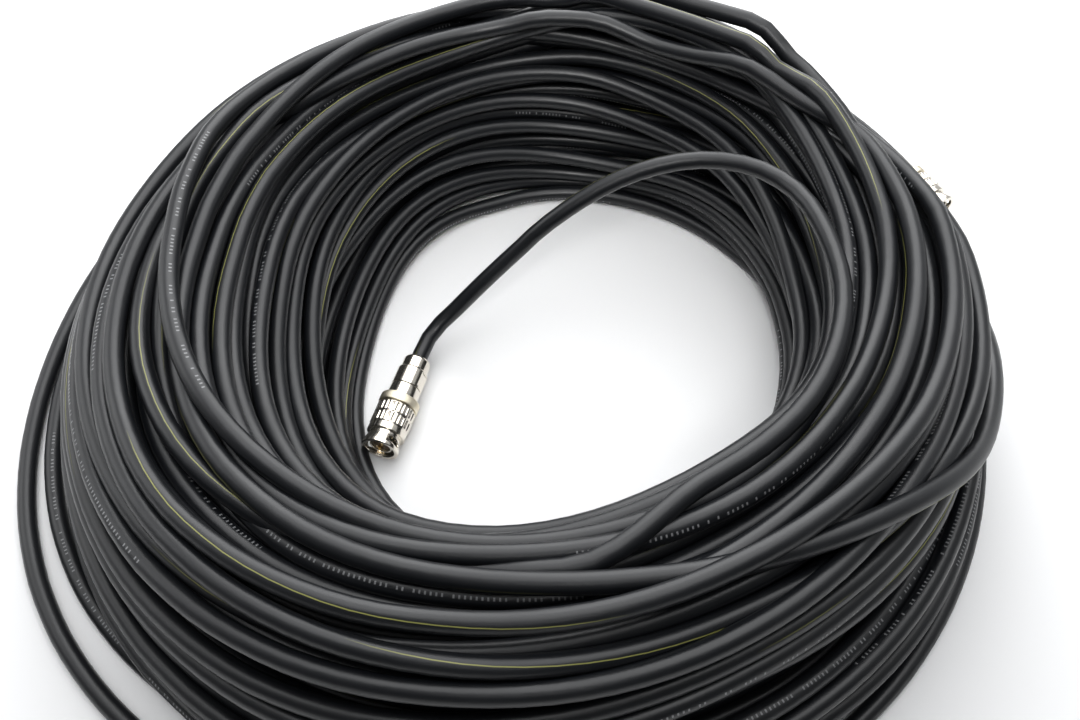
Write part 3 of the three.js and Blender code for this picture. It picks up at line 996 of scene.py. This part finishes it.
class OBJECT_OT_coil_stage(bpy.types.Operator):
    """Sets up the camera, the soft lights and the white table"""

    bl_idname = "object.coil_stage"
    bl_label = "Stage"

    def execute(self, context):
        settings = context.scene.coil_studio
        scene = context.scene
        camera = bpy.data.cameras.new("camera")
        camera.sensor_width = 36.0
        camera.lens = settings.focal_length
        camera.clip_start, camera.clip_end = 0.01, 20.0
        holder = bpy.data.objects.new("camera", camera)
        scene.collection.objects.link(holder)
        holder.location = settings.camera_place
        holder.rotation_euler = (math.pi / 2 - settings.camera_down, 0.0, 0.0)
        scene.camera = holder
        scene.view_settings.view_transform = "Standard"

        world = bpy.data.worlds.new("studio")
        scene.world = world
        world.use_nodes = True
        self.sky(world.node_tree)

        self.light(scene, "overhead", (0.05, 0.24, 0.90), (0.0, 0.0, 0.0), OVERHEAD_SIZE,
                   settings.overhead)
        self.light(scene, "back_panel", (0.1, 1.35, 0.66), (0.0, 0.05, 0.05), BACK_PANEL_SIZE,
                   BACK_PANEL_POWER)
        self.light(scene, "left_panel", (-0.95, 0.25, 0.55), (0.0, 0.0, 0.03), LEFT_PANEL_SIZE,
                   LEFT_PANEL_POWER)
        self.spot(scene, "back_fill", (0.0, -0.30, 0.55), (0.01, 0.16, 0.07), settings.back_fill)
        self.table(settings)
        return {"FINISHED"}

    @staticmethod
    def sky(tree):
        """A pale room that is darker on the camera's side."""
        nodes, links = tree.nodes, tree.links
        where = nodes.new("ShaderNodeTexCoord")
        split = nodes.new("ShaderNodeSeparateXYZ")
        links.new(where.outputs["Generated"], split.inputs[0])
        fade = nodes.new("ShaderNodeMapRange")
        fade.inputs["From Min"].default_value = -0.5
        fade.inputs["From Max"].default_value = 0.4
        fade.inputs["To Min"].default_value = 0.1
        fade.inputs["To Max"].default_value = 0.56
        links.new(split.outputs[1], fade.inputs["Value"])
        sky = nodes["Background"]
        sky.inputs["Color"].default_value = (0.965, 0.98, 1.0, 1.0)
        links.new(fade.outputs[0], sky.inputs["Strength"])

    @staticmethod
    def light(scene, name, place, target, size, power):
        lamp = bpy.data.lights.new(name, "AREA")
        lamp.shape = "SQUARE"
        lamp.size = size
        lamp.energy = power
        lamp.color = (0.985, 0.99, 1.0)
        holder = bpy.data.objects.new(name, lamp)
        scene.collection.objects.link(holder)
        holder.location = place
        holder.rotation_euler = (Vector(target) - Vector(place)).to_track_quat("-Z", "Y").to_euler()

    @staticmethod
    def spot(scene, name, place, target, power):
        lamp = bpy.data.lights.new(name, "SPOT")
        lamp.energy = power
        lamp.spot_size = math.radians(BACK_FILL_SPREAD)
        lamp.spot_blend = 1.0
        lamp.shadow_soft_size = 0.12
        holder = bpy.data.objects.new(name, lamp)
        scene.collection.objects.link(holder)
        holder.location = place
        holder.rotation_euler = (Vector(target) - Vector(place)).to_track_quat("-Z", "Y").to_euler()

    @staticmethod
    def table(settings):
        reach = TABLE_REACH
        corners = [(-reach, -reach, 0), (reach, -reach, 0), (reach, reach, 0), (-reach, reach, 0)]
        table = mesh_object("table", corners, [(0, 1, 2, 3)])
        material, nodes, links, surface = new_material("table_white")
        grain = place_group(nodes, fine_grain(), Scale=900.0, Patch_scale=8.0, Patch_amount=0.1)
        pale = tuple(min(1.0, c * 1.03) for c in settings.table) + (1.0,)
        share = math_node(nodes, "ADD", grain.outputs["Patches"], 0.5, links=links)
        links.new(mixed(nodes, links, share, (*settings.table, 1.0), pale),
                  surface.inputs["Base Color"])
        surface.inputs["Roughness"].default_value = 0.55
        table.data.materials.append(material)


class OBJECT_OT_coil_cable(bpy.types.Operator):
    """Winds the cable's turns and its two free stretches"""

    bl_idname = "object.coil_cable"
    bl_label = "Cable"

    def execute(self, context):
        settings = context.scene.coil_cable
        path = cable_path(settings.turn_seed)
        print("cable length", round(float(run_of(path)[-1]), 3), "m")
        cable = cable_mesh("cable", path, CABLE_DIAMETER * MM)
        cable.data.materials.append(jacket_material(settings))
        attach(cable, "cable")
        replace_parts(cable, *COIL_NODES)
        return {"FINISHED"}


def clamp_nut(prefix, pose, material):
    flats = (COLLAR_LENGTH + NUT_SHOULDER, NUT_END - NUT_SHOULDER)

    def outside(radius, along, angle):
        if radius < NUT_FLATS / 2 or not flats[0] <= along <= flats[1]:
            return radius
        return min(radius, NUT_FLATS / 2 / max(1e-6, abs(math.cos(angle))))

    bore = CABLE_DIAMETER / 2 + CLEARANCE
    section = filleted([
        (0.0, NUT_BORE_DEPTH), (bore, NUT_BORE_DEPTH), (bore, 0.0), (COLLAR_RADIUS - 0.5, 0.0),
        (COLLAR_RADIUS, 0.9), (COLLAR_RADIUS, COLLAR_LENGTH), (NUT_RADIUS, COLLAR_LENGTH + 0.55),
        (NUT_RADIUS, flats[0] - 0.001), (NUT_RADIUS, flats[0]), (NUT_RADIUS, flats[1]),
        (NUT_RADIUS, flats[1] + 0.001), (NUT_RADIUS, NUT_END), (0.0, NUT_END),
    ], 0.22)
    nut = turned(prefix + "_clamp_nut_turned", section, 144, outside)
    return placed(nut, pose, "cable", "plug_metal", material, prefix + "_clamp_nut")


def plug_body(prefix, pose, material):
    start = NUT_END + CLEARANCE
    section = filleted([
        (0.0, start), (BODY_RADIUS, start), (BODY_RADIUS, FLANGE_START - CLEARANCE),
        (NECK_RADIUS, FLANGE_START - CLEARANCE), (NECK_RADIUS, HEAD_END - MOUTH_DEPTH),
        (CONTACT_OUTER, HEAD_END - MOUTH_DEPTH), (CONTACT_OUTER, CONTACT_END),
        (CONTACT_INNER, CONTACT_END), (CONTACT_INNER, CONTACT_END - SOCKET_DEPTH),
        (0.0, CONTACT_END - SOCKET_DEPTH),
    ], 0.15)
    body = turned(prefix + "_body_turned", section, 128)
    return placed(body, pose, "cable", "plug_metal", material, prefix + "_body")


def flange_ring(prefix, settings, pose, material):
    def knurled(radius, along, angle):
        if radius < FLANGE_RADIUS - 0.4:
            return radius
        tooth = abs((angle * settings.knurls / (2 * math.pi)) % 1 - 0.5) * 2
        edge = min(along - FLANGE_START, FLANGE_END - along)
        return radius - 0.16 * tooth * min(1.0, max(0.0, edge / 0.5))

    bore = NECK_RADIUS + CLEARANCE
    rows = [(FLANGE_RADIUS, y) for y in np.linspace(FLANGE_START + 0.3, FLANGE_END - 0.3, 5)]
    section = [(bore, FLANGE_START), (FLANGE_RADIUS - 0.35, FLANGE_START),
               (FLANGE_RADIUS - 0.1, FLANGE_START + 0.1), *rows,
               (FLANGE_RADIUS - 0.1, FLANGE_END - 0.1), (FLANGE_RADIUS - 0.35, FLANGE_END),
               (bore, FLANGE_END)]
    ring = turned(prefix + "_flange_ring_knurled", section, settings.knurls * 4, knurled)
    return placed(ring, pose, "cable", "plug_metal", material, prefix + "_flange_ring")


def coupling(prefix, settings, pose, body, material):
    def fluted(radius, along, angle):
        if radius < GRIP_RADIUS - 0.5:
            return radius
        for low, high in ((FLANGE_END + CLEARANCE, GRIP_SPLIT), (GRIP_SPLIT, GRIP_END)):
            if low <= along <= high:
                phase = (angle * settings.flutes / (2 * math.pi)) % 1
                groove = max(0.0, math.cos(2 * math.pi * phase)) ** 0.6
                edge = min(along - low, high - along) - 0.35
                return radius - 0.42 * groove * min(1.0, max(0.0, edge / 0.4))
        return radius

    start = FLANGE_END + CLEARANCE
    bore = NECK_RADIUS + CLEARANCE
    grip = []
    for low, high in ((start, GRIP_SPLIT), (GRIP_SPLIT, GRIP_END)):
        grip += [(GRIP_RADIUS - 0.35, low + 0.001), (GRIP_RADIUS, low + 0.35)]
        grip += [(GRIP_RADIUS, y) for y in (low + 0.5, low + 0.75, high - 0.75, high - 0.5)]
        grip += [(GRIP_RADIUS, high - 0.35), (GRIP_RADIUS - 0.35, high - 0.001)]
    front = filleted([
        (RING_RADIUS, GRIP_END + 0.1), (RING_RADIUS, RING_END), (WAIST_RADIUS, RING_END),
        (WAIST_RADIUS, WAIST_END), (HEAD_RADIUS, HEAD_END - HEAD_RIM), (HEAD_RADIUS, HEAD_END),
        (MOUTH_RADIUS, HEAD_END), (MOUTH_RADIUS, HEAD_END - MOUTH_DEPTH + CLEARANCE),
        (bore, HEAD_END - MOUTH_DEPTH + CLEARANCE),
    ], 0.25, 4)
    section = [(bore, start), *grip, *front]
    piece = turned(prefix + "_coupling_fluted", section, settings.flutes * 8, fluted)
    cut_slots(piece)
    return placed(piece, pose, body, "plug_metal", material, prefix + "_coupling")


SLOT_STATIONS = 28


def cut_slots(piece):
    """The two bayonet slots, each a curved slot with rounded ends."""
    deepest = WAIST_END + SLOT_WIDTH * 0.5
    shallowest = HEAD_END - SLOT_ENTRY
    for side in (0.0, math.pi):
        shares = [k / SLOT_STATIONS for k in range(SLOT_STATIONS + 1)]
        low, high = HEAD_RADIUS - 2.6, HEAD_RADIUS + 0.8
        vertices, faces = [], []
        for t in shares:
            along = deepest + (shallowest - deepest) * t
            turn = side + math.radians(SLOT_TURN) * (1 - t)
            ends = min(t, 1 - t) * 9.0
            half = 0.5 * SLOT_WIDTH * min(1.0, math.sqrt(max(0.02, ends)))
            for radius in (low, high):
                for hand in (-1, 1):
                    y = along + hand * half * 0.75
                    a = turn + hand * half * 0.75 / HEAD_RADIUS
                    vertices.append((radius * math.cos(a) * MM, y * MM, -radius * math.sin(a) * MM))
        for k in range(SLOT_STATIONS):
            a, b = 4 * k, 4 * (k + 1)
            faces += [(a, b, b + 1, a + 1), (a + 2, a + 3, b + 3, b + 2),
                      (a, a + 2, b + 2, b), (a + 1, b + 1, b + 3, a + 3)]
        last = 4 * SLOT_STATIONS
        faces += [(0, 1, 3, 2), (last, last + 2, last + 3, last + 1)]
        cutter = mesh_object("slot_cutter", vertices, faces)
        cut = piece.modifiers.new("slot", "BOOLEAN")
        cut.operation = "DIFFERENCE"
        cut.solver = "EXACT"
        cut.object = cutter
        bpy.context.view_layer.update()
        evaluated = piece.evaluated_get(bpy.context.evaluated_depsgraph_get())
        piece.data = bpy.data.meshes.new_from_object(evaluated)
        piece.modifiers.clear()
        bpy.data.objects.remove(cutter)


def insulator(prefix, pose, material):
    start = CONTACT_END - SOCKET_DEPTH + CLEARANCE
    outside = CONTACT_INNER - CLEARANCE
    section = filleted([
        (INSULATOR_HOLE, start), (outside, start), (outside, start + INSULATOR_LENGTH),
        (INSULATOR_HOLE, start + INSULATOR_LENGTH),
    ], 0.2)
    piece = turned(prefix + "_insulator_turned", section, 64)
    return placed(piece, pose, "cable", "dielectric", material, prefix + "_insulator")


def centre_pin(prefix, pose, material):
    start = CONTACT_END - SOCKET_DEPTH + CLEARANCE
    section = filleted([
        (0.0, start), (PIN_RADIUS, start), (PIN_RADIUS, PIN_END - PIN_TIP_LENGTH),
        (PIN_TIP_RADIUS, PIN_END), (0.0, PIN_END),
    ], 0.25)
    piece = turned(prefix + "_centre_pin_turned", section, 48)
    return placed(piece, pose, "cable", "contact_gold", material, prefix + "_centre_pin")


class OBJECT_OT_coil_plugs(bpy.types.Operator):
    """Turns the pieces of both bayonet plugs"""

    bl_idname = "object.coil_plugs"
    bl_label = "Plugs"

    def execute(self, context):
        settings = context.scene.coil_plugs
        plate = plate_material("plug_nickel", settings.plate, 0.17)
        dull = plate_material("flange_nickel", settings.flange, 0.34, 0.3)
        gold = plate_material("pin_gold", settings.pin, 0.2)
        brown = insulator_material(settings)
        for prefix, name, body in (("plug_a", "coupling_a_turn", "coupling_a"),
                                   ("plug_b", "coupling_b_turn", "coupling_b")):
            pose = plug_pose(name)
            clamp_nut(prefix, pose, plate)
            plug_body(prefix, pose, plate)
            flange_ring(prefix, settings, pose, dull)
            coupling(prefix, settings, pose, body, plate)
            insulator(prefix, pose, brown)
            centre_pin(prefix, pose, gold)
        return {"FINISHED"}


class OBJECT_OT_coil_declare(bpy.types.Operator):
    # This operator only reads the cable's vertices and plug B's pose; it declares nothing and leaves
    # the scene as it is.
    bl_idname = "object.coil_declare"
    bl_label = "Declare the cable"

    def execute(self, context):
        cable = bpy.data.objects["cable"]
        flat = np.zeros(len(cable.data.vertices) * 3)
        cable.data.vertices.foreach_get("co", flat)
        rear, axis = plug_pose("coupling_b_turn")
        return {"FINISHED"}


class VIEW3D_PT_coil(bpy.types.Panel):
    """The coil's pieces and their settings"""

    bl_idname = "VIEW3D_PT_coil"
    bl_label = "Cable coil"
    bl_space_type = "VIEW_3D"
    bl_region_type = "UI"
    bl_category = "Cable coil"

    def draw(self, context):
        for group in (context.scene.coil_cable, context.scene.coil_plugs, context.scene.coil_studio):
            for name in group.__annotations__:
                self.layout.prop(group, name)
        for operator in (OBJECT_OT_coil_stage, OBJECT_OT_coil_cable, OBJECT_OT_coil_plugs,
                         OBJECT_OT_coil_declare):
            self.layout.operator(operator.bl_idname)


CLASSES = (
    CableSettings,
    PlugSettings,
    StudioSettings,
    OBJECT_OT_coil_stage,
    OBJECT_OT_coil_cable,
    OBJECT_OT_coil_plugs,
    OBJECT_OT_coil_declare,
    VIEW3D_PT_coil,
)


def register():
    for each in CLASSES:
        bpy.utils.register_class(each)
    bpy.types.Scene.coil_cable = PointerProperty(type=CableSettings)
    bpy.types.Scene.coil_plugs = PointerProperty(type=PlugSettings)
    bpy.types.Scene.coil_studio = PointerProperty(type=StudioSettings)


def unregister():
    del bpy.types.Scene.coil_studio
    del bpy.types.Scene.coil_plugs
    del bpy.types.Scene.coil_cable
    for each in reversed(CLASSES):
        bpy.utils.unregister_class(each)


def main():
    register()
    bpy.ops.object.coil_stage()
    bpy.ops.object.coil_cable()
    bpy.ops.object.coil_plugs()
    bpy.ops.object.coil_declare()


if __name__ == "__main__":
    main()
